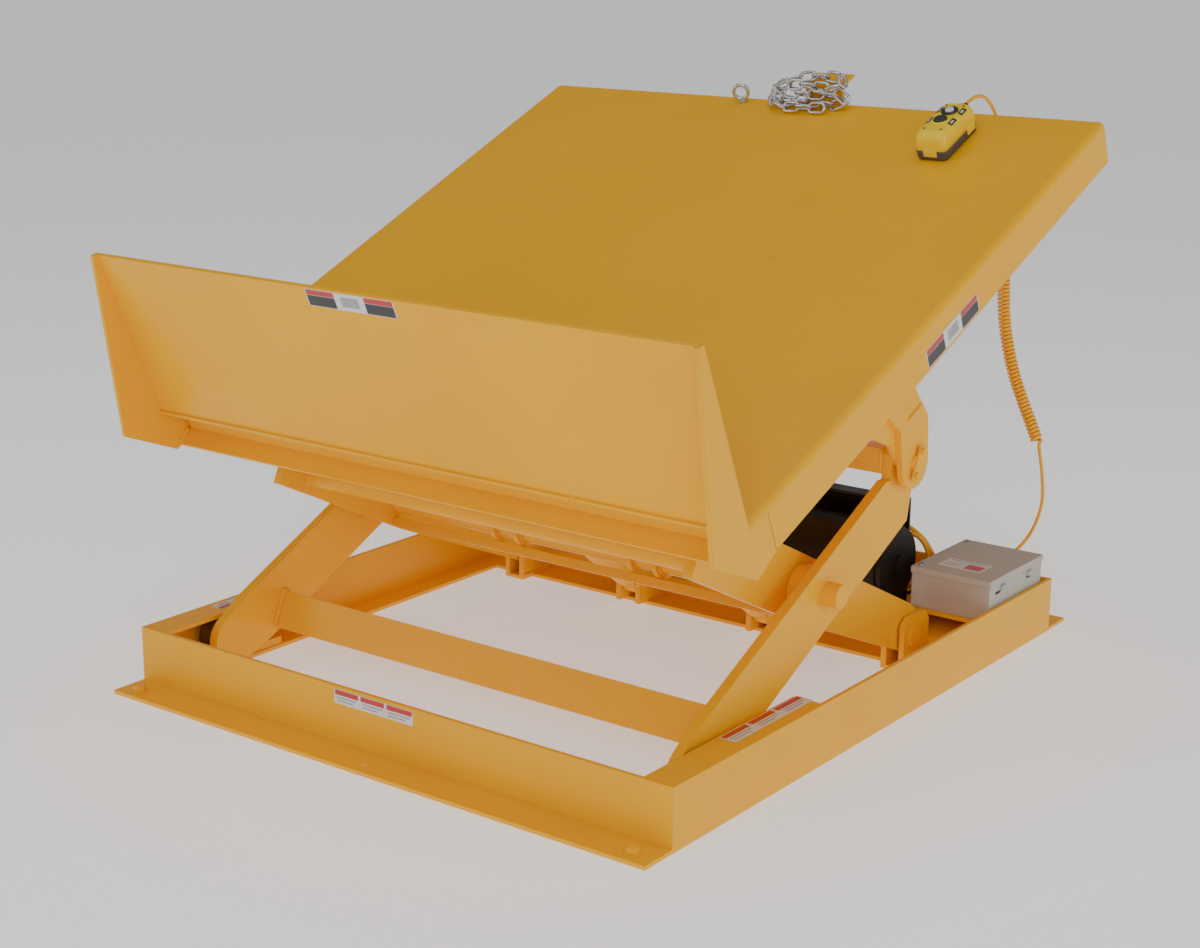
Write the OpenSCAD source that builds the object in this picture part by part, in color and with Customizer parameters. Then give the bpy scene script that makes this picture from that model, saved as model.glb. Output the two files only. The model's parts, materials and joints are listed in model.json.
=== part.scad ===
// Scissor lift table with a fixed sloping platform, front lip, chain, power unit and pendant.
// X runs across, Y towards the raised rear edge, Z up. The origin is on the floor at the base's centre.

/* [Base] */
// width of the base frame over its side channels
base_w = 1266; // [1200:1:1300]
// depth of the base frame without its foot flanges
base_d = 1388; // [1340:1:1420]
// height of the base frame
base_h = 116; // [110:1:130]
// thickness of the base plates
base_t = 8; // [6:1:10]
// reach of the channels' flanges
flange_reach = 64; // [50:1:66]
// reach of the front and rear foot flanges
foot_reach = 76; // [60:1:90]

/* [Scissor] */
// depth position of the rear base pivot
pivot_y = 316; // [310:1:322]
// height of the rear base pivot and of the lower rollers
pivot_z = 66; // [64:1:70]
// depth of the scissor's centre pin
centre_y = -108; // [-112:1:-104]
// height of the scissor's centre pin
centre_z = 275; // [270:1:280]
// width of the leg plates
leg_w = 122; // [110:1:126]
// thickness of the leg plates
leg_t = 20; // [16:1:22]
// outer face of the inner legs, from the middle
inner_x = 499; // [490:1:500]
// outer face of the outer legs, from the middle
outer_x = 560; // [556:1:562]
// depth position of the platform pivot
top_y = 158; // [150:1:166]
// height of the platform pivot
top_z = 470; // [462:1:478]

/* [Platform] */
// width of the platform
deck_w = 1371.6; // [1360:0.1:1380]
// length of the platform's slope
deck_l = 1366; // [1340:1:1380]
// slope of the platform in degrees
slope = 23.3; // [22:0.1:24]
// depth of the platform's side skirts
skirt_h = 88; // [80:1:95]
// plate thickness of deck, skirts and lip
deck_t = 6; // [5:0.5:8]
// height of the front lip
lip_h = 342; // [300:1:360]

/* [Control box] */
// width of the control box
box_w = 180; // [160:1:182]
// depth of the control box
box_d = 240; // [220:1:250]
// height of the control box with its lid
box_h = 86; // [70:1:95]

/* [Hidden] */
hw = base_w / 2;
hd = base_d / 2;
flange_x = hw - flange_reach;
flange_cut_y = -229;
corner_y = -574;
corner_z = 533;
half = deck_w / 2;
// the front end of the inner legs, measured from the centre pin
tip_reach = 360;
leg_angle = atan2(centre_z - pivot_z, pivot_y - centre_y);
roller_y = 2 * centre_y - pivot_y;
// the outer legs bend upwards at the knee
knee = [120, centre_z + (120 - centre_y) * tan(leg_angle)];
top_angle = atan2(top_z - knee[1], top_y - knee[0]);
guide_y = 2 * centre_y - top_y;
guide_r = 25;
track_x = inner_x - leg_t - 30;
pin_r = 16;
shaft_r = 32;
hub_r = 42;
fit = 0.05;
cross_y = 308;
cross_h = 50;
web_y = cross_y + 68;
track_h = 16;
roller_r = pivot_z - base_t - track_h - 0.3;
// lift cylinders
ram_x = 170;
ram_y = 310;
ram_z = 50;
lever_l = 85;
lever_angle = leg_angle + 50;
lever_y = centre_y + lever_l * cos(lever_angle);
lever_z = centre_z + lever_l * sin(lever_angle);
ram_l = norm([lever_y - ram_y, lever_z - ram_z]);
ram_angle = atan2(lever_z - ram_z, lever_y - ram_y);
ram_r = 33;
rod_r = 19;
barrel_l = 370;
// platform's edge bend and ribs
bend_r = 12;
rib_h = 50;
// control box place
box_x = 535;
box_y = 541;
box_z = 89;
lid_h = 14;
// power unit
motor_y = 440;
motor_z = 165;
motor_r = 82;
// pendant place on the slope
pend_x = 409;
pend_u = 1233;
pend_l = 144;
pend_w = 70;
pend_split = 22;
pend_h = 60;
// cords: round numbers along their routes
cord_r = 3.75;
coil_r = 14;
lead_route = [[409, 622, 1092], [409, 645, 1102], [411, 674, 1109], [416, 704, 1103], [424, 730, 1074],
    [434, 744, 1022], [444, 751, 960], [451, 752, 890], [455, 752, 830]];
coil_route = [[455, 752, 829], [455, 752, 740], [462, 752, 640], [485, 752, 545], [512, 752, 478],
    [540, 752, 420], [559, 752, 376]];
box_route = [[559, 752, 376], [569, 752, 325], [574, 752, 270], [568, 748, 225], [553, 738, 182],
    [534, 718, 152], [517, 697, 139], [510, 674, 136]];
supply_route = [[428, 600, 136], [405, 600, 142], [380, 592, 180], [340, 578, 205], [296, 560, 180],
    [286, 548, 120], [310, 552, 76], [350, 566, 70], [388, 584, 96], [392, 592, 150], [370, 584, 186],
    [338, 566, 190], [330, 552, 181], [330, 541.5, 180]];
control_route = [[428, 570, 136], [414, 566, 132], [402, 556, 108], [390, 548, 82], [366, 543, 66],
    [330, 540, 61], [298, 540, 64], [270, 546, 84], [258, 557, 116], [262, 552, 140], [262, 541.5, 142]];

paint = "#f5ac1c";
black = "#1d1d1f";
zinc = "#b9bcc0";
grey = "#b5aea2";
yellow = "#f2c21a";

// helpers
module side_plate(x, t) translate([x, 0, 0]) rotate([90, 0, 90]) linear_extrude(t) children();
module both_sides() { children(); mirror([1, 0, 0]) children(); }
module pin(x0, x1, y, z, r) translate([x0, y, z]) rotate([0, 90, 0]) cylinder(h = x1 - x0, r = r, $fn = 64);
module block(a, b) translate(a) cube(b - a);
module on_deck() translate([0, corner_y, corner_z]) rotate([slope, 0, 0]) children();
module bar2d(a, b, w) {
    d = b - a;
    translate(a) rotate(atan2(d[1], d[0])) translate([0, -w / 2]) square([norm(d), w]);
}
function turned(a, p) = [p[0] * cos(a) - p[1] * sin(a), p[0] * sin(a) + p[1] * cos(a)];
function arc(p, r, a0, a1, n = 16) = [for (i = [0 : n]) p + turned(a0 + (a1 - a0) * i / n, [r, 0])];
module disc(p, r) translate(p) circle(r, $fn = 64);
function deck_point(u, v) = [corner_y + u * cos(slope) - v * sin(slope),
    corner_z + u * sin(slope) + v * cos(slope)];
module hex(r, h) cylinder(h = h, r = r, $fn = 6);

// swept tube along a smoothed route
function mix(p, i, t) = let (n = len(p), a = p[max(i - 1, 0)], b = p[i], c = p[min(i + 1, n - 1)],
    d = p[min(i + 2, n - 1)])
    0.5 * (2 * b + (c - a) * t + (2 * a - 5 * b + 4 * c - d) * t * t + (3 * b - a - 3 * c + d) * t * t * t);
function smooth(p, k) = [for (i = [0 : len(p) - 2], j = [0 : k - 1]) mix(p, i, j / k), p[len(p) - 1]];
function unit(v) = v / norm(v);
function heading(p, i) = unit(p[min(i + 1, len(p) - 1)] - p[max(i - 1, 0)]);
function carried(side, dir) = unit(side - dir * (side * dir));
function sides(p, i = 0, s = [0.31, 0.23, 0.92]) = i == len(p) ? [] :
    let (c = carried(s, heading(p, i))) concat([c], sides(p, i + 1, c));
module tube(route, r, k, n = 8) {
    p = smooth(route, k);
    s = sides(p);
    m = len(p);
    pts = [for (i = [0 : m - 1], j = [0 : n - 1])
        p[i] + r * (cos(360 * j / n) * s[i] + sin(360 * j / n) * cross(heading(p, i), s[i]))];
    walls = [for (i = [0 : m - 2], j = [0 : n - 1])
        [i * n + j, i * n + (j + 1) % n, (i + 1) * n + (j + 1) % n, (i + 1) * n + j]];
    polyhedron(points = pts, faces = concat([for (f = walls) [f[3], f[2], f[1], f[0]]],
        [[for (j = [0 : n - 1]) j], [for (j = [n - 1 : -1 : 0]) (m - 1) * n + j]]));
}

// base frame
module end_rail() {
    block([-hw, -hd, 0], [hw, -hd + base_t, base_h]);
    difference() {
        block([-hw, -hd - foot_reach, 0], [hw, -hd - fit, base_t]);
        for (x = [-590, 0, 590]) translate([x, -743, -1]) cylinder(h = base_t + 2, r = 9, $fn = 48);
    }
}
module front_rail() color(paint) end_rail();
module rear_rail() color(paint) mirror([0, 1, 0]) end_rail();
module channel() {
    y0 = -hd + base_t;
    block([hw - base_t, y0, 0], [hw, -y0, base_h]);
    block([flange_x, y0, 0], [hw - base_t, -y0, base_t]);
    block([flange_x, y0, base_h - base_t], [hw - base_t, flange_cut_y, base_h]);
    // strip that the roller runs on
    block([flange_x + 3, y0 + 2, base_t], [flange_x + 40, -380, base_t + track_h]);
}
module left_channel() color(paint) mirror([1, 0, 0]) channel();
module right_channel() color(paint) channel();
module rear_crossmember() color(paint) {
    block([-flange_x, cross_y, 0], [flange_x, web_y, base_t]);
    block([-flange_x, web_y, 0], [flange_x, web_y + base_t, cross_h]);
    block([-flange_x, web_y + base_t, cross_h - base_t], [flange_x, hd - base_t, cross_h]);
}
module lug2d() {
    difference() {
        polygon([[276, base_t], [web_y, base_t], [web_y, 92], [360, 110], [294, 110], [276, 96]]);
        disc([pivot_y, pivot_z], pin_r);
    }
}
module pivot_lugs() color(paint) both_sides() {
    side_plate(inner_x + 4, 12) lug2d();
    side_plate(inner_x - leg_t - 16, 12) lug2d();
    block([inner_x - leg_t - 16, 276, 0], [inner_x + 16, cross_y, base_t]);
}
module base_pins() color(zinc) {
    both_sides() {
        pin(inner_x - leg_t - 22, inner_x + 22, pivot_y, pivot_z, pin_r);
        pin(inner_x + 16, inner_x + 22, pivot_y, pivot_z, pin_r + 7);
    }
    for (s = [-1, 1]) pin(s * ram_x - 36, s * ram_x + 36, ram_y, ram_z, 12);
}
module ram_lugs() color(paint) for (s = [-1, 1], o = [-32, 20])
    side_plate(s * ram_x + o, 12) difference() {
        union() {
            translate([ram_y - 32, base_t]) square([web_y - ram_y + 32, 34]);
            disc([ram_y, ram_z], 32);
        }
        disc([ram_y, ram_z], 12);
    }
module anchor_bolts() color(paint) for (x = [-590, 590], y = [-743, 743]) translate([x, y, 0]) {
    cylinder(h = base_t, r = 8.9, $fn = 48);
    translate([0, 0, base_t]) cylinder(h = 3, r = 17, $fn = 48);
    translate([0, 0, base_t + 3]) hex(13, 10);
}

// electrical box
module box_shelf() color(paint) {
    block([box_x - 100, box_y - 130, box_z - 6], [hw - base_t, hd - base_t, box_z]);
    block([box_x - 100, box_y - 130, cross_h], [box_x - 94, hd - base_t, box_z - 6]);
}
module control_box() color(grey) {
    w = box_w / 2 - 2;
    d = box_d / 2 - 2;
    h = box_h - lid_h;
    difference() {
        translate([box_x, box_y, box_z]) union() {
            block([-w, -d, 0], [w, d, h + 8]);
            for (y = [-60, 60]) block([w, y - 9, h - 16], [w + 4, y + 9, h - 6]);
        }
        translate([box_x, box_y, box_z]) block([-w + 2, -d + 2, 2], [w - 2, d - 2, h + 9]);
    }
}
module box_lid() color(grey) {
    w = box_w / 2;
    d = box_d / 2;
    translate([box_x, box_y, box_z + box_h - lid_h]) difference() {
        block([-w, -d, 0], [w, d, lid_h]);
        block([-w + 1.5, -d + 1.5, -1], [w - 1.5, d - 1.5, lid_h - 2]);
    }
}
module lid_screws() color(zinc) for (y = [-100, 100])
    translate([box_x - 76, box_y + y, box_z + box_h]) cylinder(h = 3, r = 6, $fn = 32);
module box_internals() color("#d8d8d4") translate([box_x, box_y, box_z + 2]) {
    block([-70, -95, 0], [70, 95, 3]);
    block([-60, -80, 3], [-10, -10, 55]);
    block([10, -80, 3], [50, 0, 45]);
    for (i = [0 : 7]) block([-60 + i * 15, 40, 3], [-48 + i * 15, 75, 28]);
}
module gland() {
    cylinder(h = 8, r = 8, $fn = 48);
    translate([0, 0, 4]) hex(12, 9);
}
module cord_gland() color(black) {
    translate([510, 659, 136]) rotate([-90, 0, 0]) gland();
    for (y = [570, 600]) translate([box_x - box_w / 2 + 2, y, 136]) rotate([0, -90, 0]) gland();
}
module bracket_gland(x, z)
    translate([x, motor_y + 90, z]) rotate([-90, 0, 0]) cylinder(h = 10, r = 9, $fn = 48);

// power unit
module motor() color(black) {
    pin(70, 392, motor_y, motor_z, motor_r);
    pin(392, 404, motor_y, motor_z, motor_r - 5);
    pin(404, 414, motor_y, motor_z, 22);
    for (x = [100, 350]) block([x, motor_y - 50, cross_h], [x + 12, motor_y + 50, motor_z - 40]);
}
module pump_block() color("#8d9094") {
    block([0, motor_y - 48, motor_z - 55], [70, motor_y + 48, motor_z + 48]);
    for (z = [-25, 10]) translate([35, motor_y - 48, motor_z + z]) rotate([90, 0, 0])
        cylinder(h = 26, r = 13, $fn = 48);
    pin(20, 50, motor_y, motor_z + 60, 12);
}
module oil_tank() color(black) {
    block([-330, motor_y - 75, 62], [0, motor_y + 75, motor_z + 70]);
    translate([-290, motor_y + 40, motor_z + 70]) cylinder(h = 22, r = 18, $fn = 48);
    for (x = [-300, -60]) block([x, motor_y - 60, cross_h], [x + 30, motor_y + 60, 62]);
}
module power_bracket() color(black) {
    block([120, motor_y + 84, cross_h], [380, motor_y + 90, 285]);
    block([120, motor_y + 50, 279], [380, motor_y + 84, 285]);
    bracket_gland(330, 180);
    bracket_gland(262, 142);
    translate([150, motor_y + 30, 285]) rotate([90, 0, 0]) difference() {
        union() {
            block([-16, -6, -54], [16, 14, -48]);
            translate([0, 14, -54]) cylinder(h = 6, r = 16, $fn = 48);
        }
        translate([0, 14, -55]) cylinder(h = 8, r = 7, $fn = 48);
    }
}
module supply_lead() color(yellow) tube(supply_route, 5, 4);
module control_lead() color(black) tube(control_route, 4, 4);

// inner legs
module inner_leg() {
    p0 = [pivot_y, pivot_z];
    tip = [centre_y - tip_reach * cos(leg_angle), centre_z + tip_reach * sin(leg_angle)];
    half_w = leg_w / 2;
    span = norm(tip - p0);
    side_plate(inner_x - leg_t, leg_t) difference() {
        union() {
            translate(p0) rotate(180 - leg_angle) polygon([[-34, -50], [20, -half_w], [span - 60, -half_w],
                [span, -10], [span, half_w], [430, half_w], [0, 36], [-34, 34], [-48, 10]]);
            disc([guide_y, top_z], guide_r - 2);
        }
        disc(p0, pin_r + fit);
        disc([centre_y, centre_z], shaft_r + fit);
        disc([guide_y, top_z], 10);
    }
}
module inner_leg_left() color(paint) mirror([1, 0, 0]) inner_leg();
module inner_leg_right() color(paint) inner_leg();
module along_inner(d, o)
    translate([0, centre_y, centre_z]) rotate([-leg_angle, 0, 0]) translate([0, d, o]) children();
module inner_bottom_bar() color(paint) along_inner(2, -leg_w / 2)
    block([-inner_x + leg_t, -6, 0], [inner_x - leg_t, 6, leg_w / 2 - hub_r - 1]);
module inner_tip_tube() color(paint) difference() {
    pin(-inner_x + leg_t, inner_x - leg_t, -362, 380, 25);
    pin(-inner_x, inner_x, -362, 380, 19);
}
module guide_axles() color(zinc) both_sides() pin(track_x, inner_x, guide_y, top_z, 10);
module guide_rollers() color(zinc) both_sides() difference() {
    pin(inner_x - leg_t - 26, inner_x - leg_t - 2, guide_y, top_z, guide_r);
    pin(inner_x - leg_t - 27, inner_x - leg_t - 1, guide_y, top_z, 10 + fit);
}

// outer legs
module outer_leg() side_plate(outer_x - leg_t, leg_t) difference() {
    polygon(concat(arc([roller_y, pivot_z], 54, leg_angle + 90, leg_angle + 270),
        [[roller_y, pivot_z] + turned(leg_angle, [60, -leg_w / 2]),
        knee + turned(leg_angle, [36, -leg_w / 2])],
        arc([top_y, top_z], 48, top_angle - 90, top_angle + 90),
        [knee + turned(leg_angle, [14, 54]), knee + turned(leg_angle, [0, leg_w / 2]),
        [roller_y, pivot_z] + turned(leg_angle, [60, leg_w / 2])]));
    disc([roller_y, pivot_z], 14);
    disc([centre_y, centre_z], shaft_r);
    disc([top_y, top_z], pin_r + fit);
}
module outer_leg_left() color(paint) mirror([1, 0, 0]) outer_leg();
module outer_leg_right() color(paint) outer_leg();
module outer_front_beam() color(paint) translate([0, -408, 96]) rotate([-23, 0, 0])
    block([-outer_x + leg_t, -6, -38], [outer_x - leg_t, 6, 38]);
module outer_top_beam() color(paint) {
    block([-outer_x + leg_t, 108, 452], [outer_x - leg_t, 116, 500]);
    block([-outer_x + leg_t, 116, 492], [outer_x - leg_t, 150, 500]);
}
module centre_shaft() color(paint) {
    pin(-outer_x, outer_x, centre_y, centre_z, shaft_r);
    both_sides() {
        pin(outer_x, outer_x + 31, centre_y, centre_z, 23);
        difference() {
            pin(inner_x + 1, outer_x - leg_t, centre_y, centre_z, 46);
            pin(inner_x, outer_x, centre_y, centre_z, shaft_r - 1);
        }
    }
}
module cam_levers() color(paint) for (s = [-1, 1], o = [-36, 24])
    side_plate(s * ram_x + o, 12) difference() {
        union() {
            disc([centre_y, centre_z], hub_r);
            bar2d([centre_y, centre_z], [lever_y, lever_z], 62);
            disc([lever_y, lever_z], 31);
        }
        disc([centre_y, centre_z], shaft_r);
        disc([lever_y, lever_z], 10);
    }
module cam_pins() color(zinc) for (s = [-1, 1]) pin(s * ram_x - 38, s * ram_x + 38, lever_y, lever_z, 10);
module roller_axles() color(zinc) both_sides() pin(outer_x - leg_t, outer_x + 48, roller_y, pivot_z, 14);
module base_rollers() color("#3b3d40") both_sides() difference() {
    pin(outer_x + 12, outer_x + 44, roller_y, pivot_z, roller_r);
    pin(outer_x + 11, outer_x + 45, roller_y, pivot_z, 14 + fit);
}

// lift cylinders
module at_ram(s) translate([s * ram_x, ram_y, ram_z]) rotate([ram_angle, 0, 0]) children();
module along_ram(a, b, r) translate([0, a, 0]) rotate([-90, 0, 0]) cylinder(h = b - a, r = r, $fn = 64);
module ram_barrels() color(paint) for (s = [-1, 1]) at_ram(s) difference() {
    union() {
        pin(-18, 18, 0, 0, 28);
        block([-18, 0, -20], [18, 50, 20]);
        along_ram(45, barrel_l, ram_r);
        along_ram(barrel_l, barrel_l + 10, ram_r + 3);
    }
    pin(-19, 19, 0, 0, 12 + fit);
    along_ram(62, barrel_l - 14, ram_r - 5);
    along_ram(barrel_l - 15, barrel_l + 11, rod_r + fit);
}
module ram_rods() color(zinc) for (s = [-1, 1]) at_ram(s) difference() {
    union() {
        along_ram(150, ram_l - 30, rod_r);
        along_ram(150, 172, ram_r - 5 - fit);
        pin(-15, 15, ram_l, 0, 36);
    }
    pin(-16, 16, ram_l, 0, 24.5);
}

// platform
module deck() color(paint) on_deck() {
    block([-half + bend_r, 0, -deck_t], [half - bend_r, deck_l, 0]);
    both_sides() {
        block([half - deck_t, 56, -skirt_h], [half, deck_l, -bend_r]);
        block([half - deck_t, 0, -bend_r - 1], [half, 56, -bend_r]);
        translate([half - bend_r, 0, -bend_r]) rotate([-90, 0, 0]) difference() {
            cylinder(h = deck_l, r = bend_r, $fn = 64);
            translate([0, 0, -1]) cylinder(h = deck_l + 2, r = bend_r - deck_t, $fn = 64);
            translate([-2 * bend_r, -2 * bend_r, -1]) cube([2 * bend_r, 4 * bend_r, deck_l + 2]);
            translate([-2 * bend_r, 0, -1]) cube([4 * bend_r, 2 * bend_r, deck_l + 2]);
        }
    }
    block([-half + deck_t, deck_l - deck_t, -skirt_h], [half - deck_t, deck_l, -deck_t]);
}
module deck_ribs() color(paint) on_deck() {
    difference() {
        for (u = [200, 420, 960, 1160]) block([-half + bend_r, u, -rib_h], [half - bend_r, u + 8, -deck_t]);
        // gaps for the guide tracks' webs
        both_sides() block([track_x + 9, 190, -rib_h - 1], [track_x + 19, 440, 0]);
    }
    for (x = [-300, 0, 300]) block([x - 4, 428.5, -rib_h], [x + 4, 959.5, -deck_t]);
}
module lip() color(paint) on_deck() block([-half + 8, -8, -10], [half - 8, 0, lip_h]);
module lip_ledge() color(paint) on_deck() for (i = [0 : 3])
    block([-half + 10 + i * 340, -13, -14], [-half + 10 + i * 340 + 328, -8, -8]);
module nose() color(paint) on_deck() {
    block([-half + bend_r, 37, -80], [half - bend_r, 43, -deck_t]);
    side_plate(-half + 8, deck_w - 16) polygon([[43, -84], [43, -79], [38, -79], [0, -94], [2, -100]]);
}
module lip_gusset() on_deck() side_plate(half - 8, 8) polygon([[0, lip_h], [-16, lip_h + 3], [-108, -5],
    [-8, -103], [54, -89], [54, -13], [0, -13]]);
module lip_gusset_left() color(paint) mirror([1, 0, 0]) lip_gusset();
module lip_gusset_right() color(paint) lip_gusset();
module pivot_bracket() {
    side_plate(outer_x + 1, 11) difference() {
        polygon([[top_y - 150, 543], [top_y - 74, 514], [top_y - 40, top_z], [top_y + 40, top_z],
            [top_y + 12, 560], [top_y, 590], [top_y - 29, 599], deck_point(700, -50), deck_point(470, -50)]);
        disc([top_y, top_z], pin_r);
    }
    side_plate(outer_x + 12, 12) difference() {
        union() {
            disc([top_y, top_z], 50);
            polygon([[top_y - 50, top_z], [top_y - 62, 540], deck_point(560, -150), deck_point(690, -200),
                [top_y + 42, 556], [top_y + 50, top_z]]);
        }
        disc([top_y, top_z], pin_r);
    }
    on_deck() block([outer_x - 8, 440, -50], [outer_x + 24, 720, -deck_t]);
}
module pivot_bracket_left() color(paint) mirror([1, 0, 0]) pivot_bracket();
module pivot_bracket_right() color(paint) pivot_bracket();
module platform_pins() color(zinc) both_sides() pin(outer_x - leg_t - 6, outer_x + 28, top_y, top_z, pin_r);
module pin_keepers() color(paint) both_sides() translate([outer_x + 28, top_y, top_z]) rotate([-25, 0, 0]) {
    block([0, -9, -34], [4, 9, 34]);
    for (z = [-24, 24]) translate([4, 0, z]) rotate([0, 90, 0]) hex(7, 5);
}
module guide_tracks() color(paint) both_sides() {
    z0 = top_z + guide_r + 0.4;
    block([track_x, -500, z0], [track_x + 28, -185, z0 + 8]);
    side_plate(track_x + 10, 8) polygon([[-500, z0 + 8], deck_point(90, -deck_t), deck_point(430, -deck_t),
        [-185, z0 + 8]]);
}

// chain, bracket and eye at the rear edge
module chain_bracket() color(paint) on_deck() {
    block([5, deck_l, -60], [95, deck_l + 6, 42]);
    block([5, deck_l, 36], [95, deck_l + 58, 42]);
}
module link(r, w) rotate_extrude($fn = 40) translate([r, 0]) circle(w, $fn = 16);
module retaining_chain() color(zinc) on_deck() for (i = [0 : 20])
    translate([-10 + 6 * i + 4 * sin(i * 97), deck_l + 20 + 22 * sin(i * 70), 64 + 9 * sin(i * 53)])
        rotate([22 * sin(i * 61), 25 * cos(i * 83), i * 47]) link(14, 3.2);
module chain_eye() color(zinc) on_deck() translate([-152, deck_l - 18, 0]) {
    cylinder(h = 8, r = 10, $fn = 32);
    translate([0, 0, 24]) rotate([90, 0, 20]) link(16, 4);
}

// pendant lying on the deck
module at_pendant() on_deck() translate([pend_x, pend_u, 0]) children();
module pend2d(w, l, r) {
    square([w - 2 * r, l], center = true);
    square([w, l - 2 * r], center = true);
    for (x = [-1, 1], y = [-1, 1]) translate([x * (w / 2 - r), y * (l / 2 - r)]) circle(r, $fn = 32);
}
module pendant_shell() color("#4a4b4d") at_pendant() linear_extrude(pend_split) pend2d(pend_w, pend_l, 10);
module pendant_cover() color(yellow) at_pendant() difference() {
    union() {
        translate([0, 0, pend_split])
            linear_extrude(pend_h - 4 - pend_split) pend2d(pend_w - 2, pend_l - 2, 10);
        translate([0, 0, pend_h - 4]) linear_extrude(4) pend2d(pend_w - 10, pend_l - 14, 10);
        translate([0, pend_l / 2 - 2, 40]) rotate([-90, 0, 0]) cylinder(h = 16, r = 10, $fn = 48);
    }
    translate([0, 28, pend_h - 10]) cylinder(h = 20, r = 9.5, $fn = 48);
    translate([0, -12, pend_h - 10]) cylinder(h = 20, r = 14, $fn = 48);
}
module button(y, r) at_pendant() translate([0, y, pend_h - 6]) cylinder(h = 13, r = r, $fn = 48);
module up_button() color("#e8e6e0") button(28, 9);
module down_button() color(black) button(-12, 13.5);
module pendant_lead() color(yellow) tube(lead_route, cord_r, 4);
module curly_coil() color(yellow) tube(coil_route, coil_r, 2, 12);
module box_lead() color(yellow) tube(box_route, cord_r, 4);

front_rail();
rear_rail();
left_channel();
right_channel();
rear_crossmember();
pivot_lugs();
base_pins();
ram_lugs();
anchor_bolts();
box_shelf();
control_box();
box_internals();
cord_gland();
motor();
pump_block();
oil_tank();
power_bracket();
supply_lead();
control_lead();
box_lid();
lid_screws();
inner_leg_left();
inner_leg_right();
inner_bottom_bar();
inner_tip_tube();
guide_axles();
guide_rollers();
outer_leg_left();
outer_leg_right();
outer_front_beam();
outer_top_beam();
centre_shaft();
cam_levers();
cam_pins();
roller_axles();
base_rollers();
ram_barrels();
ram_rods();
deck();
deck_ribs();
lip();
lip_ledge();
nose();
lip_gusset_left();
lip_gusset_right();
pivot_bracket_left();
pivot_bracket_right();
platform_pins();
pin_keepers();
guide_tracks();
chain_bracket();
retaining_chain();
chain_eye();
pendant_shell();
pendant_cover();
up_button();
down_button();
pendant_lead();
curly_coil();
box_lead();
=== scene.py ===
"""Looks of the scissor lift table: cords, chain, welds, labels, pendant and materials."""

import json
import math
import random

import bmesh
import bpy
from mathutils import Matrix, Vector


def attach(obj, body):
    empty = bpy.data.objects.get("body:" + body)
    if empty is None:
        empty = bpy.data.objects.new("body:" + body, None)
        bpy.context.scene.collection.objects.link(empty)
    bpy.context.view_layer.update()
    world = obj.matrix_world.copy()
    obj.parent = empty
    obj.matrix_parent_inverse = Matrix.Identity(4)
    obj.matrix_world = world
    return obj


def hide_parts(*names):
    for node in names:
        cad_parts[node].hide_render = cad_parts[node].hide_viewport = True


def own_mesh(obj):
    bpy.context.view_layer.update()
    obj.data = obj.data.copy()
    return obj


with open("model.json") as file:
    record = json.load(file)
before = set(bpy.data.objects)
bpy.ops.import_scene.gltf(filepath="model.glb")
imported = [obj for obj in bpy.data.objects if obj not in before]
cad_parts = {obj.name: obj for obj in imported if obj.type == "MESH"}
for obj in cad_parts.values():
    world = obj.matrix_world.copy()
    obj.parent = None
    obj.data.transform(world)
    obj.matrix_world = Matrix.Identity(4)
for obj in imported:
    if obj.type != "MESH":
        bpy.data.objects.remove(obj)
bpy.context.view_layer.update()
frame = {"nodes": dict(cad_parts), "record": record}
NODES = frame["nodes"]

SLOPE = math.radians(23.3)
DECK = Matrix.Translation((0, -0.574, 0.533)) @ Matrix.Rotation(SLOPE, 4, "X")
DECK_L = 1.366


# ---------------------------------------------------------------- camera
def place_camera():
    a, e, roll = math.radians(36.914), math.radians(15.02), math.radians(0.399)
    right = Vector((math.cos(a), math.sin(a), 0))
    back = Vector((math.sin(a) * math.cos(e), -math.cos(a) * math.cos(e), math.sin(e)))
    up = back.cross(right)
    side = right * math.cos(roll) + up * math.sin(roll)
    top = up * math.cos(roll) - right * math.sin(roll)
    data = bpy.data.cameras.new("camera")
    data.lens = 63.0
    data.sensor_width = 36.0
    cam = bpy.data.objects.new("camera", data)
    turn = Matrix((side, top, back)).transposed().to_4x4()
    turn.translation = (2.4066, -3.2563, 1.4702)
    cam.matrix_world = turn
    bpy.context.scene.collection.objects.link(cam)
    bpy.context.scene.camera = cam


place_camera()


# ---------------------------------------------------------------- mesh helpers
def add(name, bm, material=None, smooth=True):
    mesh = bpy.data.meshes.new(name)
    bmesh.ops.recalc_face_normals(bm, faces=bm.faces)
    bm.to_mesh(mesh)
    bm.free()
    if smooth:
        mesh.shade_smooth()
    obj = bpy.data.objects.new(name, mesh)
    bpy.context.scene.collection.objects.link(obj)
    if material:
        mesh.materials.append(material)
    return obj


def spline(points, steps):
    """Catmull-Rom points through the given ones."""
    p = [Vector(q) for q in points]
    out = []
    for i in range(len(p) - 1):
        a, b, c, d = p[max(i - 1, 0)], p[i], p[i + 1], p[min(i + 2, len(p) - 1)]
        for j in range(steps):
            t = j / steps
            out.append(
                0.5 * (
                    2 * b + (c - a) * t + (2 * a - 5 * b + 4 * c - d) * t * t + (
                        3 * b - a - 3 * c + d
                    ) * t**3
                )
            )
    return out + [p[-1]]


def frames(points, seed=(0.31, 0.23, 0.92)):
    """Heading and carried side vector at each point."""
    side = Vector(seed)
    out = []
    for i in range(len(points)):
        ahead = (points[min(i + 1, len(points) - 1)] - points[max(i - 1, 0)]).normalized()
        side = (side - ahead * side.dot(ahead)).normalized()
        out.append((ahead, side.copy()))
    return out


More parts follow.
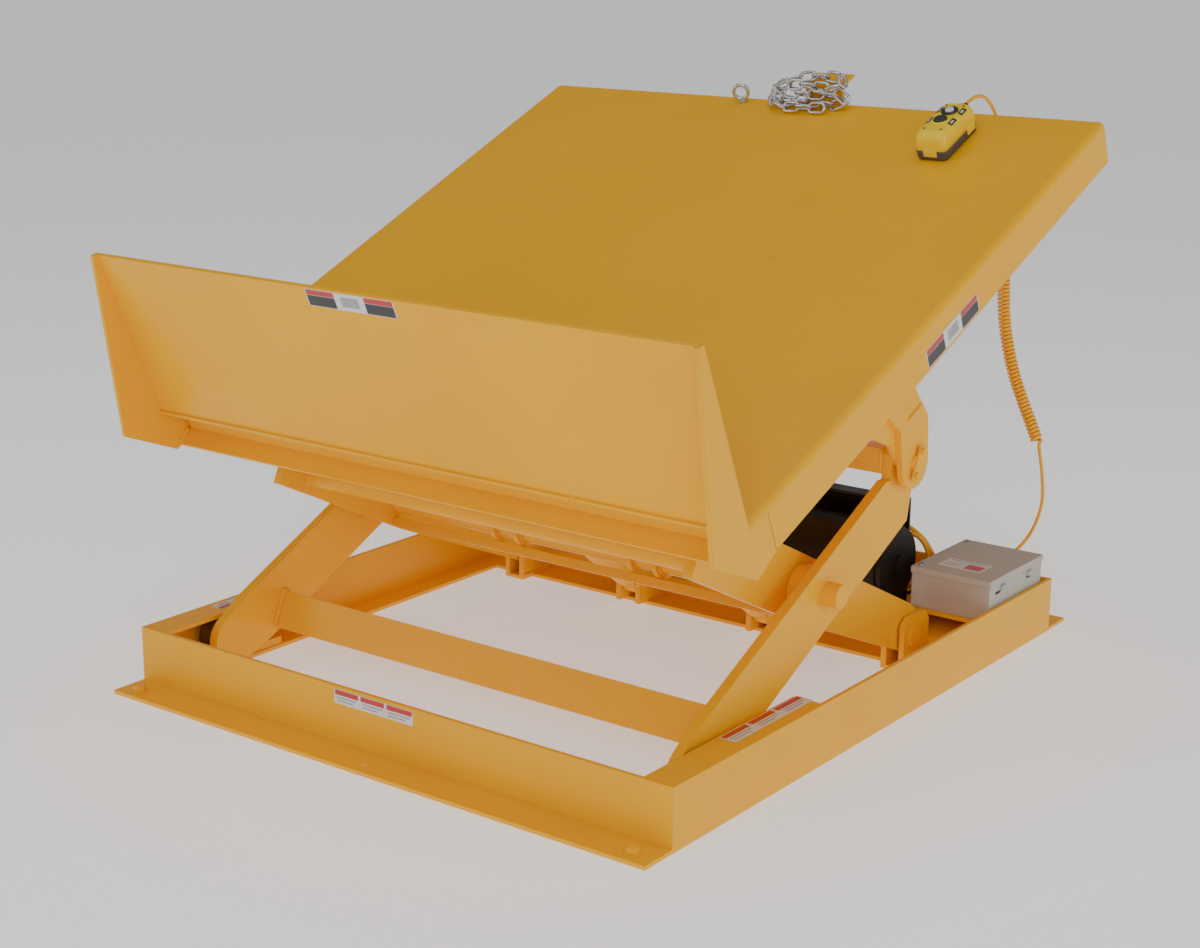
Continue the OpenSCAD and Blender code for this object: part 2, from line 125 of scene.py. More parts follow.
def tube(name, points, radius, material, sides=14, closed=False):
    """A swept tube. radius is a number or a function of the point's index."""
    bm = bmesh.new()
    rings = []
    for i, (ahead, side) in enumerate(frames(points)):
        r = radius(i) if callable(radius) else radius
        across = ahead.cross(side)
        rings.append(
            [
                bm.verts.new(
                    points[i]
                    + (
                        side * math.cos(2 * math.pi * k / sides) + across * math.sin(2 * math.pi * k / sides)
                    ) * r
                )
                for k in range(sides)
            ]
        )
    last = len(rings) if closed else len(rings) - 1
    for i in range(last):
        a, b = rings[i], rings[(i + 1) % len(rings)]
        for k in range(sides):
            bm.faces.new((a[k], a[(k + 1) % sides], b[(k + 1) % sides], b[k]))
    if not closed:
        bm.faces.new(rings[0][::-1])
        bm.faces.new(rings[-1])
    return add(name, bm, material)


def rounded_outline(w, d, r, n=8):
    out = []
    for cx, cy, start in ((1, 1, 0), (-1, 1, 90), (-1, -1, 180), (1, -1, 270)):
        for k in range(n + 1):
            a = math.radians(start + 90 * k / n)
            out.append((cx * (w / 2 - r) + r * math.cos(a), cy * (d / 2 - r) + r * math.sin(a)))
    return out


def loft(name, layers, material, placed=Matrix.Identity(4), n=8):
    """A closed form through rounded rectangles: layers hold (z, width, depth, corner radius, shift in y)."""
    bm = bmesh.new()
    rings = []
    for z, w, d, r, dy in layers:
        rings.append([bm.verts.new(placed @ Vector((x, y + dy, z))) for x, y in rounded_outline(w, d, r, n)])
    count = len(rings[0])
    for a, b in zip(rings, rings[1:]):
        for k in range(count):
            bm.faces.new((a[k], a[(k + 1) % count], b[(k + 1) % count], b[k]))
    bm.faces.new(rings[0][::-1])
    bm.faces.new(rings[-1])
    return add(name, bm, material)


def lathe(name, profile, placed, material, steps=40):
    """A turned form about local Z from (radius, z) pairs."""
    bm = bmesh.new()
    rings = []
    for r, z in profile:
        rings.append(
            [
                bm.verts.new(
                    placed @ Vector(
                        (r * math.cos(2 * math.pi * k / steps), r * math.sin(2 * math.pi * k / steps), z)
                    )
                )
                for k in range(steps)
            ]
        )
    for a, b in zip(rings, rings[1:]):
        for k in range(steps):
            bm.faces.new((a[k], a[(k + 1) % steps], b[(k + 1) % steps], b[k]))
    bm.faces.new(rings[0][::-1])
    bm.faces.new(rings[-1])
    return add(name, bm, material)


def soften(obj, width=0.0006, segments=2):
    m = obj.modifiers.new("soft_edges", "BEVEL")
    m.width = width
    m.segments = segments
    m.limit_method = "ANGLE"
    m.angle_limit = math.radians(35)
    return obj


# ---------------------------------------------------------------- materials
class Nodes:
    def __init__(self, name):
        self.mat = bpy.data.materials.new(name)
        self.mat.use_nodes = True
        self.tree = self.mat.node_tree
        self.shader = self.tree.nodes["Principled BSDF"]
        coords = self.tree.nodes.new("ShaderNodeTexCoord")
        self.place = coords.outputs["Object"]

    def new(self, kind, **sockets):
        n = self.tree.nodes.new(kind)
        for key, value in sockets.items():
            n.inputs[key.replace("_", " ")].default_value = value
        return n

    def link(self, a, b):
        self.tree.links.new(a, b)

    def noise(self, scale, detail=3.0, rough=0.5, stretch=None):
        n = self.new("ShaderNodeTexNoise", Scale=scale, Detail=detail, Roughness=rough)
        if stretch:
            m = self.new("ShaderNodeMapping", Scale=stretch)
            self.link(self.place, m.inputs["Vector"])
            self.link(m.outputs["Vector"], n.inputs["Vector"])
        else:
            self.link(self.place, n.inputs["Vector"])
        return n.outputs["Fac"]

    def span(self, fac, low, high, a=0.3, b=0.7):
        m = self.new("ShaderNodeMapRange", From_Min=a, From_Max=b, To_Min=low, To_Max=high)
        self.link(fac, m.inputs["Value"])
        return m.outputs["Result"]

    def mix(self, fac, a, b):
        m = self.tree.nodes.new("ShaderNodeMix")
        m.data_type = "RGBA"
        self.link(fac, m.inputs["Factor"])
        for value, socket in ((a, m.inputs["A"]), (b, m.inputs["B"])):
            if isinstance(value, tuple):
                socket.default_value = (*value, 1)
            else:
                self.link(value, socket)
        return m.outputs["Result"]

    def math(self, kind, a, b):
        m = self.tree.nodes.new("ShaderNodeMath")
        m.operation = kind
        for value, socket in ((a, m.inputs[0]), (b, m.inputs[1])):
            if isinstance(value, (int, float)):
                socket.default_value = value
            else:
                self.link(value, socket)
        return m.outputs["Value"]

    def bumps(self, heights, edge=0.0):
        """heights are (height output, strength, distance), stacked."""
        normal = None
        if edge:
            bevel = self.tree.nodes.new("ShaderNodeBevel")
            bevel.samples = 4
            bevel.inputs["Radius"].default_value = edge
            normal = bevel.outputs["Normal"]
        for height, strength, distance in heights:
            b = self.new("ShaderNodeBump", Strength=strength, Distance=distance)
            self.link(height, b.inputs["Height"])
            if normal:
                self.link(normal, b.inputs["Normal"])
            normal = b.outputs["Normal"]
        self.link(normal, self.shader.inputs["Normal"])

    def edges(self, radius):
        """1 along hard edges, 0 on flats."""
        bevel = self.tree.nodes.new("ShaderNodeBevel")
        bevel.samples = 4
        bevel.inputs["Radius"].default_value = radius
        geo = self.tree.nodes.new("ShaderNodeNewGeometry")
        dot = self.tree.nodes.new("ShaderNodeVectorMath")
        dot.operation = "DOT_PRODUCT"
        self.link(bevel.outputs["Normal"], dot.inputs[0])
        self.link(geo.outputs["Normal"], dot.inputs[1])
        return self.span(dot.outputs["Value"], 1.0, 0.0, 0.72, 0.97)

    def out(self, **values):
        for key, value in values.items():
            socket = self.shader.inputs[key.replace("_", " ")]
            if isinstance(value, (int, float)):
                socket.default_value = value
            elif isinstance(value, tuple):
                socket.default_value = (*value, 1)
            else:
                self.link(value, socket)
        return self.mat


def paint(name, colour, shade, chip, gloss=(0.26, 0.42), wear=0.55):
    """Sprayed gloss enamel: slow tint drift, orange peel, dust, and thin wear along the edges."""
    n = Nodes(name)
    drift = n.noise(2.6, 4)
    base = n.mix(n.span(drift, 0.0, 1.0), colour, shade)
    grime = n.span(n.noise(38, 6, 0.65), 0.0, 0.16, 0.55, 0.90)
    base = n.mix(grime, base, tuple(c * 0.80 for c in shade))
    flecks = n.span(n.noise(210, 4, 0.7), 0.0, 1.0, 0.55, 0.66)
    worn = n.math("MULTIPLY", n.math("MULTIPLY", n.edges(0.0022), flecks), wear)
    base = n.mix(worn, base, chip)
    peel = n.noise(420, 2, 0.4)
    sag = n.noise(28, 2, 0.5)
    n.bumps([(sag, 0.10, 0.003), (peel, 0.10, 0.0006)], edge=0.0016)
    rough = n.span(n.noise(11, 5, 0.6), gloss[0], gloss[1])
    return n.out(
        Base_Color=base,
        Roughness=rough,
        Specular_IOR_Level=0.24,
        Coat_Weight=0.05,
        Coat_Roughness=0.12,
        IOR=1.46,
    )


def metal(name, colour, shade, rough=(0.22, 0.4), stretch=(1, 1, 1), grain=160):
    n = Nodes(name)
    base = n.mix(n.span(n.noise(60, 5, 0.6), 0.0, 1.0), colour, shade)
    lines = n.noise(grain, 3, 0.6, stretch)
    n.bumps([(lines, 0.12, 0.0005)], edge=0.0012)
    return n.out(Base_Color=base, Metallic=1.0, Roughness=n.span(n.noise(35, 4, 0.6), rough[0], rough[1]))


def plastic(name, colour, shade, rough=(0.38, 0.52), grain=900, depth=0.12, edge=0.001, coat=0.0):
    n = Nodes(name)
    base = n.mix(n.span(n.noise(20, 5, 0.6), 0.0, 1.0), colour, shade)
    n.bumps([(n.noise(grain, 2, 0.5), depth, 0.0004), (n.noise(45, 2), 0.05, 0.001)], edge=edge)
    return n.out(Base_Color=base, Roughness=n.span(n.noise(30, 4), rough[0], rough[1]), Coat_Weight=coat)


M = {
    "yellow_paint": paint("yellow_enamel", (1.0, 0.50, 0.0), (0.96, 0.465, 0.0), (0.42, 0.20, 0.02)),
    "zinc": metal("zinc_plate", (0.70, 0.71, 0.73), (0.52, 0.54, 0.58), (0.20, 0.36)),
    "bright_steel": metal("ground_rod", (0.80, 0.80, 0.82), (0.72, 0.73, 0.75), (0.08, 0.16), (30, 1, 1), 60),
    "roller_steel": metal(
        "greased_roller",
        (0.20, 0.20, 0.21),
        (0.10, 0.10, 0.105),
        (0.30, 0.48),
        (25, 1, 1),
        50,
    ),
    "grey_enclosure": plastic(
        "box_powder_coat",
        (0.50, 0.47, 0.41),
        (0.46, 0.43, 0.37),
        (0.34, 0.46),
        1500,
        0.22,
        0.0018,
    ),
    "panel_parts": plastic("panel_parts", (0.62, 0.62, 0.60), (0.52, 0.53, 0.53)),
    "black_plastic": plastic("black_nylon", (0.018, 0.018, 0.019), (0.030, 0.030, 0.032), (0.35, 0.55)),
    "black_paint": paint(
        "black_enamel",
        (0.013, 0.011, 0.010),
        (0.020, 0.016, 0.013),
        (0.10, 0.09, 0.08),
        (0.30, 0.46),
        0.4,
    ),
    "pump_alloy": metal("cast_alloy", (0.46, 0.47, 0.49), (0.33, 0.34, 0.36), (0.42, 0.6), (1, 1, 1), 500),
    "yellow_cable": plastic(
        "yellow_sheath",
        (1.0, 0.50, 0.0),
        (0.94, 0.44, 0.0),
        (0.30, 0.42),
        700,
        0.10,
        0.0004,
    ),
    "black_cable": plastic(
        "black_sheath",
        (0.014, 0.014, 0.015),
        (0.028, 0.028, 0.030),
        (0.32, 0.50),
        700,
        0.12,
        0.0004,
    ),
    "pendant_grey": plastic(
        "pendant_base_plastic",
        (0.085, 0.083, 0.085),
        (0.060, 0.060, 0.063),
        (0.42, 0.58),
        1400,
        0.2,
    ),
    "pendant_yellow": plastic(
        "pendant_top_plastic",
        (1.0, 0.70, 0.0),
        (0.95, 0.65, 0.0),
        (0.28, 0.40),
        1400,
        0.14,
    ),
    "white_key": plastic("white_key_plastic", (0.78, 0.77, 0.74), (0.70, 0.69, 0.65), (0.25, 0.38)),
}
LABEL = {
    "white": plastic(
        "label_white",
        (0.80, 0.80, 0.79),
        (0.74, 0.74, 0.73),
        (0.28, 0.36),
        300,
        0.04,
        0.0002,
        0.2,
    ),
    "red": plastic(
        "label_red",
        (0.62, 0.030, 0.028),
        (0.52, 0.026, 0.024),
        (0.28, 0.36),
        300,
        0.04,
        0.0002,
        0.2,
    ),
    "black": plastic(
        "label_black",
        (0.020, 0.020, 0.021),
        (0.030, 0.030, 0.030),
        (0.28, 0.36),
        300,
        0.04,
        0.0002,
        0.2,
    ),
    "grey": plastic(
        "label_grey",
        (0.40, 0.40, 0.40),
        (0.34, 0.34, 0.34),
        (0.28, 0.36),
        300,
        0.04,
        0.0002,
        0.2,
    ),
}

for row in frame["record"]["subparts"]:
    slots = NODES[row["node"]].data.materials
    for k in range(max(1, len(slots))):
        if len(slots):
            slots[k] = M[row["material_slot"]]
        else:
            slots.append(M[row["material_slot"]])


def piece(obj, body, slot, *stands_for):
    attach(obj, body)
    if stands_for:
        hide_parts(*stands_for)
    return obj


# ---------------------------------------------------------------- cords
def run_of(points):
    return sum((b - a).length for a, b in zip(points, points[1:]))


def metres(route):
    return [tuple(c / 1000 for c in p) for p in route]


LEAD = metres(
    [(409, 622, 1092), (409, 645, 1102), (411, 674, 1109), (416, 704, 1103), (424, 730, 1074)]
    + [(434, 744, 1022), (444, 751, 960), (451, 752, 890), (455, 752, 830)]
)
COIL = metres(
    [(455, 752, 829), (455, 752, 740), (462, 752, 640), (485, 752, 545), (512, 752, 478), (540, 752, 420)]
    + [(559, 752, 376)]
)
BOX_LEAD = metres(
    [(559, 752, 376), (569, 752, 325), (574, 752, 270), (568, 748, 225), (553, 738, 182), (534, 718, 152)]
    + [(517, 697, 139), (510, 674, 136)]
)
SUPPLY = metres(
    [(428, 600, 136), (405, 600, 142), (380, 592, 180), (340, 578, 205), (296, 560, 180), (286, 548, 120)]
    + [(310, 552, 76), (350, 566, 70), (388, 584, 96), (392, 592, 150), (370, 584, 186), (338, 566, 190)]
    + [(330, 552, 181), (330, 541.5, 180)]
)
CONTROL = metres(
    [(428, 570, 136), (414, 566, 132), (402, 556, 108), (390, 548, 82), (366, 543, 66), (330, 540, 61)]
    + [(298, 540, 64), (270, 546, 84), (258, 557, 116), (262, 552, 140), (262, 541.5, 142)]
)


def cord(name, route, radius, slot, body):
    path = spline(route, 6)
    obj = tube(f"{name}_cord", path, radius, M[slot], 16)
    piece(obj, body, slot, name)
    return obj


def ease(t):
    t = max(0.0, min(1.0, t))
    return t * t * (3 - 2 * t)


def curly_path(route, turns, radius, per_turn):
    """A helix round the route. At both ends it leaves the middle line sideways before it starts to turn."""
    line = spline(route, 24)
    whole = run_of(line)
    marks = [0.0]
    for a, b in zip(line, line[1:]):
        marks.append(marks[-1] + (b - a).length)
    axes = frames(line)
    out = []
    count = turns * per_turn
    j = 0
    a = 0.0
    for i in range(count + 1):
        s = whole * i / count
        while j < len(marks) - 2 and marks[j + 1] < s:
            j += 1
        t = (s - marks[j]) / (marks[j + 1] - marks[j])
        middle = line[j].lerp(line[j + 1], t)
        ahead, side = axes[j]
        across = ahead.cross(side)
        from_end = min(s, whole - s)
        grown = ease(from_end / 0.020)
        a += 2 * math.pi / per_turn * ease((from_end - 0.006) / 0.020)
        out.append(middle + (side * math.cos(a) + across * math.sin(a)) * radius * grown)
    return out


COIL_TURNS = 57
COIL_RADIUS = 0.0102
COIL_CABLE_RADIUS = 0.0037
POINTS_PER_TURN = 16


def curly_cord():
    path = curly_path(COIL, COIL_TURNS, COIL_RADIUS, POINTS_PER_TURN)
    obj = tube("curly_coil_cord", path, COIL_CABLE_RADIUS, M["yellow_cable"], 10)
    piece(obj, "base", "yellow_cable", "curly_coil")
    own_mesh(obj)


cord("pendant_lead", LEAD, 0.00375, "yellow_cable", "platform")
curly_cord()
cord("box_lead", BOX_LEAD, 0.00375, "yellow_cable", "base")
cord("supply_lead", SUPPLY, 0.005, "yellow_cable", "base")
cord("control_lead", CONTROL, 0.004, "black_cable", "base")


# ---------------------------------------------------------------- chain
def link_mesh(name, placed, long=0.044, wide=0.027, wire=0.0032):
    """One welded oval link with a slight swelling at its weld."""
    pts = []
    straight, r = (long - wide) / 2, wide / 2 - wire
    for k in range(40):
        a = 2 * math.pi * k / 40
        x = r * math.cos(a)
        y = r * math.sin(a) + (straight if math.sin(a) >= 0 else -straight)
        pts.append(placed @ Vector((x, y, 0)))
    return tube(name, pts, lambda k: wire * (1.10 if k in (0, 39) else 1.0), M["zinc"], 10, True)


CHAIN_WAY = [
    (-62, -20, 12), (-30, -25, 13), (10, -23, 13), (55, -25, 13), (98, -21, 13), (110, -16, 24),
    (92, -19, 31), (55, -18, 30), (15, -20, 31), (-25, -18, 30), (-54, -15, 30), (-52, -12, 40),
    (-26, -15, 48), (8, -16, 49), (42, -17, 48), (76, -16, 46), (100, -8, 47), (92, 12, 55),
    (60, 16, 55), (26, 14, 55), (-8, 8, 54), (-38, -6, 46), (-62, -28, 26), (-46, -44, 13),
    (-6, -48, 13), (38, -46, 13), (80, -44, 13),
]


def chain():
    random.seed(7)
    line = spline([DECK @ Vector((x / 1000, DECK_L + u / 1000, v / 1000)) for x, u, v in CHAIN_WAY], 20)
    pitch = 0.0312
    spots, gone, need = [], 0.0, 0.0
    for a, b in zip(line, line[1:]):
        step = (b - a).length
        while gone + step >= need:
            spots.append((a.lerp(b, (need - gone) / step), (b - a).normalized()))
            need += pitch
        gone += step
    out = []
    up = DECK.to_3x3() @ Vector((0, 0, 1))
    for i, (where, ahead) in enumerate(spots):
        ahead = (spots[min(i + 1, len(spots) - 1)][0] - spots[max(i - 1, 0)][0]).normalized()
        side = ahead.cross(up).normalized()
        turn = Matrix((side, ahead, side.cross(ahead))).transposed().to_4x4()
        roll = Matrix.Rotation(math.radians((45 if i % 2 else -45) + random.uniform(-9, 9)), 4, "Y")
        out.append(link_mesh(f"chain_link_{i + 1}", Matrix.Translation(where) @ turn @ roll))
    for k, obj in enumerate(out):
        piece(obj, "platform", "zinc")
    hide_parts("retaining_chain")


chain()


# ---------------------------------------------------------------- welds
def bead(name, points, radius, body, closed=False):
    """A weld bead with its ripples."""
    random.seed(len(name) * 31 + ord(name[-1]))
    line = [Vector(p) for p in points]
    whole = run_of(line + ([line[0]] if closed else []))
    steps = max(6, int(whole / 0.0022))
    marks = [0.0]
    loop = line + ([line[0]] if closed else [])
    for a, b in zip(loop, loop[1:]):
        marks.append(marks[-1] + (b - a).length)
    dense, j = [], 0
    for i in range(steps if closed else steps + 1):
        s = whole * i / steps
        while j < len(marks) - 2 and marks[j + 1] < s:
            j += 1
        dense.append(loop[j].lerp(loop[j + 1], (s - marks[j]) / max(marks[j + 1] - marks[j], 1e-9)))
    wobble = [random.uniform(0.88, 1.12) for _ in dense]

    def size(i):
        end = 1.0 if closed else min(1.0, 0.35 + 0.3 * min(i, len(dense) - 1 - i))
        return radius * wobble[i] * (0.86 + 0.24 * abs(math.sin(i * 1.05))) * end

    return piece(tube(name, dense, size, M["yellow_paint"], 10, closed), body, "yellow_paint")


def deck_at(x, u, v):
    return DECK @ Vector((x, u, v))


def circle(x, y, z, r, n=48):
    return [
        (x, y + r * math.cos(2 * math.pi * k / n), z + r * math.sin(2 * math.pi * k / n))
        for k in range(n)
    ]


def welds():
    for s, side in ((-1, "left"), (1, "right")):
        # front cross beam to the outer legs
        a = math.radians(-23)
        ends = [
            (y * math.cos(a) - z * math.sin(a) - 0.408, y * math.sin(a) + z * math.cos(a) + 0.096)
            for y, z in ((-0.0085, -0.038), (-0.0085, 0.040), (0.0085, 0.040))
        ]
        bead(f"beam_weld_{side}", [(s * 0.538, y, z) for y, z in ends], 0.0042, "outer_legs")
        # tip tube stubs to the inner legs
        bead(f"tip_weld_{side}", circle(s * 0.4775, -0.362, 0.380, 0.0258), 0.0032, "inner_legs", True)
        # nose web and flange to the gussets
        bead(
            f"nose_weld_{side}",
            [deck_at(s * 0.676, u, v) for u, v in ((0.002, -0.0925), (0.034, -0.0775))],
            0.0036,
            "platform",
        )
        # base lugs to the crossmember's foot plate
        bead(f"lug_weld_{side}", [(s * 0.5165, 0.280, 0.0095), (s * 0.5165, 0.372, 0.0095)], 0.0032, "base")
        bead(
            f"lug_inner_weld_{side}",
            [(s * 0.4615, 0.280, 0.0095), (s * 0.4615, 0.372, 0.0095)],
            0.0032,
            "base",
        )
        # gusset to the lip, inside the trough
        bead(
            f"gusset_weld_{side}",
            [deck_at(s * 0.6765, 0.0015, 0.02 + 0.31 * k / 6) for k in range(7)],
            0.0026,
            "platform",
        )
        # bracket cheeks to the platform
        bead(
            f"bracket_weld_{side}",
            [(s * 0.5845, 0.122, 0.560), (s * 0.5845, 0.170, 0.582)],
            0.0028,
            "platform",
        )
        for k, x in enumerate((0.134, 0.206)):
            bead(
                f"cam_weld_{side}_{k + 1}",
                circle(s * (x - 0.0015 + 0.003 * k), -0.108, 0.275, 0.0335),
                0.0028,
                "outer_legs",
                True,
            )
        # top beam to the outer legs
        bead(
            f"top_beam_weld_{side}",
            [(s * 0.5385, 0.1065, 0.454), (s * 0.5385, 0.1065, 0.498)],
            0.0032,
            "outer_legs",
        )
    for k in range(3):
        x = -0.6758 + 0.34 * (k + 1) - 0.012
        bead(
            f"ledge_weld_{k + 1}",
            [deck_at(x - 0.004, -0.0095, -0.0105), deck_at(x + 0.016, -0.0095, -0.0105)],
            0.0030,
            "platform",
        )
    for k in range(6):
        x = -0.62 + 0.235 * k
        bead(
            f"lip_weld_{k + 1}",
            [deck_at(x, 0.0008, 0.0010), deck_at(x + 0.07, 0.0008, 0.0010)],
            0.0026,
            "platform",
        )


welds()


# ---------------------------------------------------------------- labels
def label(name, placed, w, h, bands, body, slot="yellow_paint"):
    """A stuck-on label of plain bands. bands are (left, bottom, right, top, colour) shares of the label."""
    bm = bmesh.new()
    outline = rounded_outline(w, h, min(w, h) * 0.06, 4)
    low = [bm.verts.new(placed @ Vector((x, y, 0.00005))) for x, y in outline]
    top = [bm.verts.new(placed @ Vector((x, y, 0.0004))) for x, y in outline]
    for k in range(len(low)):
        bm.faces.new((low[k], low[(k + 1) % len(low)], top[(k + 1) % len(low)], top[k]))
    bm.faces.new(top)
    bm.faces.new(low[::-1])
    obj = add(name, bm, LABEL["white"], False)
    piece(obj, body, slot)
    for i, (x0, y0, x1, y1, colour) in enumerate(bands):
        bm = bmesh.new()
        z = 0.00045 + 0.00003 * i
        cx, cy = (x0 + x1 - 1) / 2 * w, (y0 + y1 - 1) / 2 * h
        shape = rounded_outline((x1 - x0) * w, (y1 - y0) * h, min((x1 - x0) * w, (y1 - y0) * h) * 0.08, 2)
        bottom = [bm.verts.new(placed @ Vector((cx + x, cy + y, z - 0.0002))) for x, y in shape]
        face = [bm.verts.new(placed @ Vector((cx + x, cy + y, z))) for x, y in shape]
        for k in range(len(shape)):
            bm.faces.new((bottom[k], bottom[(k + 1) % len(shape)], face[(k + 1) % len(shape)], face[k]))
        bm.faces.new(face)
        bm.faces.new(bottom[::-1])
        piece(add(f"{name}_band_{i + 1}", bm, LABEL[colour], False), body, slot)


def facing(origin, right, up):
    right, up = Vector(right).normalized(), Vector(up).normalized()
    m = Matrix((right, up, right.cross(up))).transposed().to_4x4()
    m.translation = origin
    return m


TWIN = [
    (0.01, 0.66, 0.33, 0.97, "red"), (0.34, 0.05, 0.66, 0.95, "white"), (0.67, 0.66, 0.99, 0.97, "red"),
    (0.01, 0.03, 0.33, 0.64, "black"), (0.67, 0.03, 0.99, 0.64, "black"), (0.40, 0.22, 0.60, 0.80, "grey"),
]
STRIP = [
    (0.01, 0.62, 0.31, 0.97, "red"), (0.34, 0.62, 0.64, 0.97, "red"), (0.67, 0.62, 0.99, 0.97, "red"),
    (0.03, 0.40, 0.28, 0.50, "grey"), (0.03, 0.18, 0.24, 0.28, "grey"), (0.36, 0.40, 0.62, 0.50, "grey"),
    (0.36, 0.18, 0.56, 0.28, "grey"), (0.69, 0.40, 0.96, 0.50, "grey"), (0.69, 0.18, 0.90, 0.28, "grey"),
]


def labels():
    across, out = (1, 0, 0), DECK.to_3x3() @ Vector((0, 0, 1))
    label("lip_label", facing(deck_at(-0.038, -0.0082, 0.322), across, out), 0.205, 0.034, TWIN, "platform")
    along = DECK.to_3x3() @ Vector((0, 1, 0))
    label("skirt_label", facing(deck_at(0.686, 0.690, -0.064), along, out), 0.200, 0.037, TWIN, "platform")
    label("rail_label", facing((-0.020, -0.6942, 0.0965), across, (0, 0, 1)), 0.190, 0.027, STRIP, "base")
    label(
        "right_channel_label",
        facing((0.5905, -0.350, 0.1162), (0, 1, 0), (-1, 0, 0)),
        0.250,
        0.034,
        STRIP,
        "base",
    )
    label(
        "left_channel_label",
        facing((-0.6055, -0.460, 0.1162), (0, -1, 0), (1, 0, 0)),
        0.130,
        0.030,
        STRIP,
        "base",
    )
    lid = [
        (0.05, 0.80, 0.95, 0.90, "grey"), (0.05, 0.56, 0.50, 0.62, "grey"), (0.05, 0.40, 0.44, 0.46, "grey"),
        (0.05, 0.24, 0.48, 0.30, "grey"), (0.56, 0.12, 0.95, 0.66, "red"),
    ]
    label(
        "box_label",
        facing((0.532, 0.490, 0.1752), across, (0, 1, 0)),
        0.096,
        0.058,
        lid,
        "box_cover",
        "grey_enclosure",
    )


labels()


# ---------------------------------------------------------------- control box trim
def box_trim():
    for k, y in enumerate((0.461, 0.601)):
        slit = loft(
            f"box_vent_{k + 1}",
            [(0, 0.006, 0.022, 0.002, 0), (0.0006, 0.006, 0.022, 0.002, 0)],
            M["black_plastic"],
            facing((0.6232, y, 0.143), (0, 0, 1), (0, 1, 0)),
        )
        piece(slit, "base", "grey_enclosure")
    for k, y in enumerate((0.441, 0.641)):
        spot = Matrix.Translation((0.459, y, 0.1782))
        bm = bmesh.new()
        for ang in (0, 90):
            turn = spot @ Matrix.Rotation(math.radians(ang + 25 * k), 4, "Z")
            bmesh.ops.create_cube(bm, size=1, matrix=turn @ Matrix.Diagonal((0.0078, 0.0014, 0.0008, 1)))
        piece(
            soften(add(f"screw_slot_{k + 1}", bm, M["black_plastic"], False), 0.0002, 1),
            "box_cover",
            "zinc",
        )
    seal = tube(
        "box_gasket",
        [Vector((0.535 + x, 0.541 + y, 0.1612)) for x, y in rounded_outline(0.1745, 0.2345, 0.004, 3)],
        0.0011, M["black_plastic"], 8, True,
    )
    piece(seal, "base", "black_plastic")
    # sleeves where the cords enter their glands
    for name, at, way in (
        ("box_lead_sleeve", (0.510, 0.6765, 0.136), (0, 1, 0)),
        ("supply_lead_sleeve", (0.4305, 0.600, 0.136), (-1, 0, 0)),
        ("control_lead_sleeve", (0.4305, 0.570, 0.136), (-1, 0, 0)),
    ):
        placed = Matrix.Translation(at) @ Vector(way).to_track_quat("Z", "Y").to_matrix().to_4x4()
        ribs = [(0.0075, -0.006)]
        for r in range(6):
            ribs += [(0.0072 - 0.0004 * r, -0.005 + 0.0035 * r), (0.0063 - 0.0003 * r, -0.0032 + 0.0035 * r)]
        piece(lathe(name, ribs, placed, M["black_plastic"], 28), "base", "black_plastic")


box_trim()


# ---------------------------------------------------------------- pendant
PENDANT = Matrix.Translation(deck_at(0.409, 1.233, 0)) @ Matrix.Rotation(SLOPE, 4, "X")


